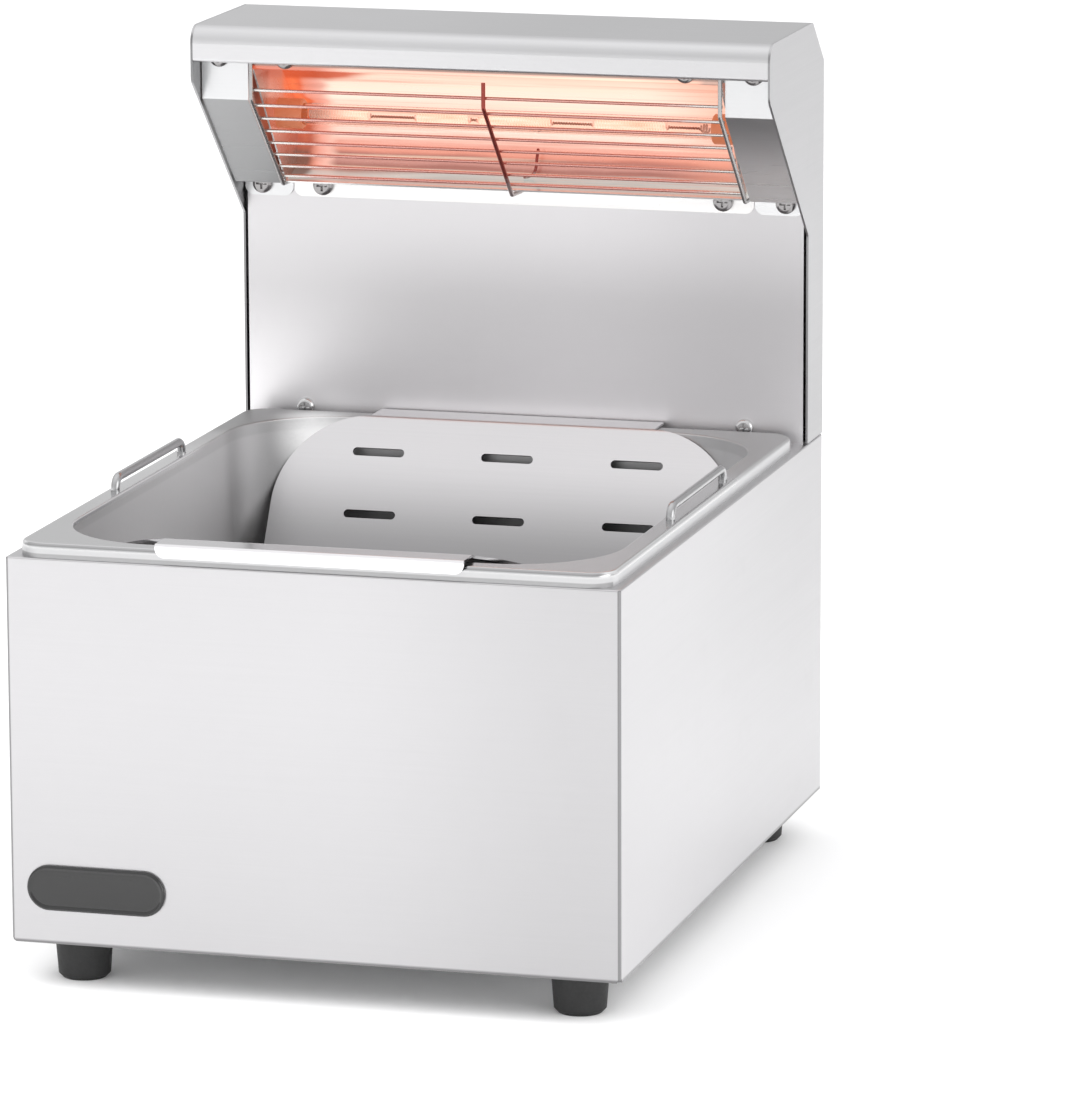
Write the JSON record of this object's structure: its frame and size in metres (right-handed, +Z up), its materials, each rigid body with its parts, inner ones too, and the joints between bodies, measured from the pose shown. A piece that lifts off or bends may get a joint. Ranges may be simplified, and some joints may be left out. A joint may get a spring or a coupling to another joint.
{
  "type": "chip warmer",
  "caption": "Countertop chip warmer: steel cabinet with a lift-out pan and slotted drain plate under a hooded infrared heater with a wire guard",
  "frame": {"origin": "centre of the overall box, on the surface the feet stand on", "axes": "+Z up, -Y towards the user (pan side), +X to the user's right"},
  "size_m": [0.273, 0.38, 0.3855],
  "materials": {
    "casing_steel": "satin brushed stainless sheet",
    "pan_steel": "smooth pressed stainless",
    "wire_steel": "polished stainless wire",
    "guard_wire": "bright plated wire",
    "reflector_bright": "bright polished reflector",
    "fastener_steel": "plated screws",
    "badge_black": "gloss black, domed",
    "foot_rubber": "matt black rubber",
    "grommet_rubber": "soft black rubber",
    "quartz_glass": "clear quartz, warm when lit",
    "filament_hot": "glowing resistance coil",
    "ceramic": "off-white glazed ceramic",
    "terminal_brass": "plain brass",
    "black_plastic": "black moulded nylon",
    "lead_brown": "brown sleeving",
    "lead_blue": "blue sleeving",
    "lead_green": "green and yellow sleeving"
  },
  "bodies": {
    "base": {"housing_wrap": "casing_steel", "base_plate": "casing_steel", "rear_panel": "casing_steel", "rear_deck": "casing_steel", "foot_front_left": "foot_rubber", "foot_front_right": "foot_rubber", "foot_rear_left": "foot_rubber", "foot_rear_right": "foot_rubber", "foot_screws": "fastener_steel", "foot_nuts": "fastener_steel", "base_screws": "fastener_steel", "rear_panel_screws": "fastener_steel", "badge": "badge_black", "tower_side_right": "casing_steel", "tower_side_left": "casing_steel", "hood_cover": "casing_steel", "tower_back_cover": "casing_steel", "back_cover_screws": "fastener_steel", "tower_screws": "fastener_steel", "splash_panel": "casing_steel", "splash_angle": "casing_steel", "splash_screws": "fastener_steel", "splash_nuts": "fastener_steel", "heater_rail": "casing_steel", "heater_bracket_right": "casing_steel", "heater_bracket_left": "casing_steel", "reflector": "reflector_bright", "heater_tube": "quartz_glass", "heater_filament": "filament_hot", "tube_caps": "ceramic", "tube_terminals": "terminal_brass", "guard_frame": "guard_wire", "guard_stay": "guard_wire", "guard_bars": "guard_wire", "heater_screws_upper": "fastener_steel", "heater_nuts_upper": "fastener_steel", "heater_screws_lower": "fastener_steel", "heater_nuts_lower": "fastener_steel", "rocker_frame": "black_plastic", "switch_terminals": "terminal_brass", "cable_gland": "black_plastic", "gland_cap": "black_plastic", "gland_locknut": "black_plastic", "earth_stud": "fastener_steel", "earth_nut": "fastener_steel", "terminal_block": "ceramic", "terminal_clamps": "terminal_brass", "terminal_screws": "terminal_brass", "wire_grommet": "grommet_rubber", "lead_supply": "lead_brown", "lead_switched": "lead_brown", "lead_neutral": "lead_blue", "lead_earth": "lead_green"},
    "rocker": {"rocker": "black_plastic"},
    "pan": {"pan": "pan_steel"},
    "pan_handle_right": {"pan_handle_right": "wire_steel", "handle_stops_right": "wire_steel"},
    "pan_handle_left": {"pan_handle_left": "wire_steel", "handle_stops_left": "wire_steel"},
    "drain_plate": {"drain_plate": "pan_steel"}
  },
  "joints": [
    {"name": "pan_lift", "type": "slide", "parent": "base", "child": "pan", "axis": [0, 0, 1], "range_m": [0, 0.095]},
    {"name": "handle_lift_right", "type": "slide", "parent": "pan", "child": "pan_handle_right", "axis": [0, 0, 1], "range_m": [0, 0.03]},
    {"name": "handle_lift_left", "type": "slide", "parent": "pan", "child": "pan_handle_left", "axis": [0, 0, 1], "range_m": [0, 0.03]},
    {"name": "drain_plate_tilt", "type": "hinge", "parent": "pan", "child": "drain_plate", "pos_m": [0, 0.1426, 0.1973], "axis": [-1, 0, 0], "range_deg": [0, 22]},
    {"name": "rocker_tip", "type": "hinge", "parent": "base", "child": "rocker", "pos_m": [0.086, 0.173, 0.132], "axis": [-1, 0, 0], "range_deg": [0, 18]}
  ]
}
